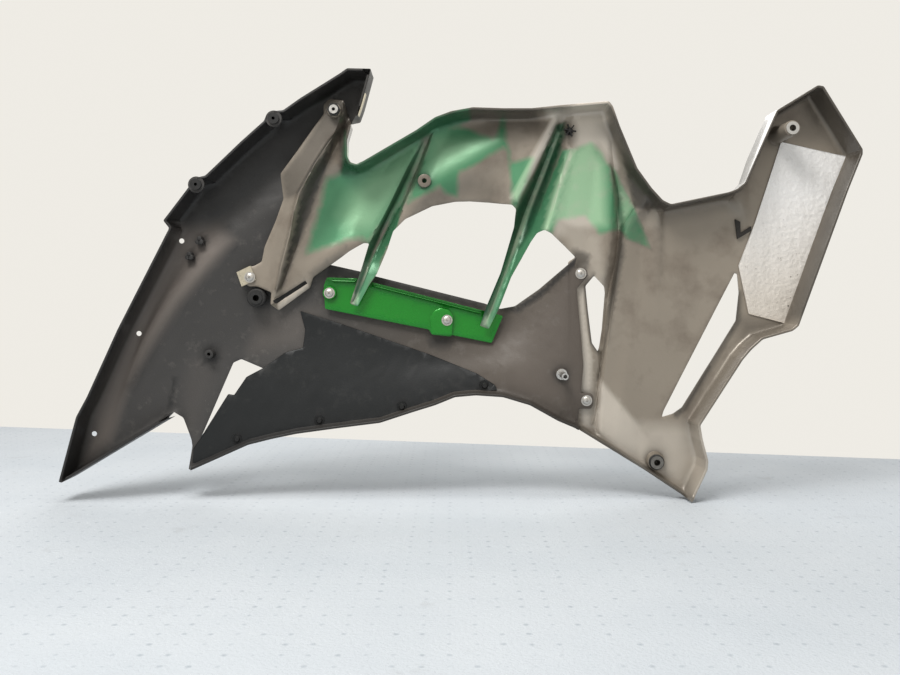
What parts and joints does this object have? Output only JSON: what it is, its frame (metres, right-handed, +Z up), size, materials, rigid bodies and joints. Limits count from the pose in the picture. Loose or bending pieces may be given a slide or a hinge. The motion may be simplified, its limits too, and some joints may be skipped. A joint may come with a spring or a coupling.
{
  "type": "motorcycle side cover",
  "caption": "Inner side of a motorcycle side fairing: painted upper cowl with hollow fins and windows, dark lower cowl, cover sheet, foil heat shield, colour plate, clips and mounting bushes.",
  "frame": {"origin": "mouth of the rear upper mounting bore, on its axis", "axes": "+X runs rearwards along the cover's length, +Z up, and +Y out to the painted side, away from the motorcycle"},
  "size_m": [0.8046, 0.0639, 0.4345],
  "materials": {
    "upper_shell": "grey-bronze semi-gloss with green fields",
    "lower_shell": "dusty charcoal",
    "sheet": "satin dark grey",
    "foil": "crinkled foil",
    "colour_plate": "glossy green",
    "screws": "worn zinc plate",
    "collars": "plain steel",
    "clip_steel": "yellow passivated spring steel",
    "rubber": "matt black rubber",
    "black_clips": "black nylon",
    "foam_pad": "black foam rubber"
  },
  "bodies": {
    "root": {"upper_cowl": "upper_shell", "lower_cowl": "lower_shell", "cover_sheet": "sheet", "foil_shield": "foil", "colour_plate": "colour_plate", "plate_screw_front": "screws", "plate_screw_rear": "screws", "strap_screw_upper": "screws", "strap_screw_lower": "screws", "clip_nut": "clip_steel", "clip_screw": "screws", "top_nut": "black_clips", "top_collar": "collars", "front_grommet": "rubber", "front_collar": "collars", "rear_upper_collar": "collars", "rear_lower_grommet": "rubber", "rear_lower_collar": "collars", "locating_stud": "collars", "star_clip": "black_clips", "edge_pad": "foam_pad", "edge_clip_upper": "black_clips", "edge_clip_lower": "black_clips", "edge_staple": "clip_steel", "sheet_rivet_1": "black_clips", "sheet_rivet_2": "black_clips", "sheet_rivet_3": "black_clips", "sheet_rivet_4": "black_clips"}
  },
  "joints": []
}
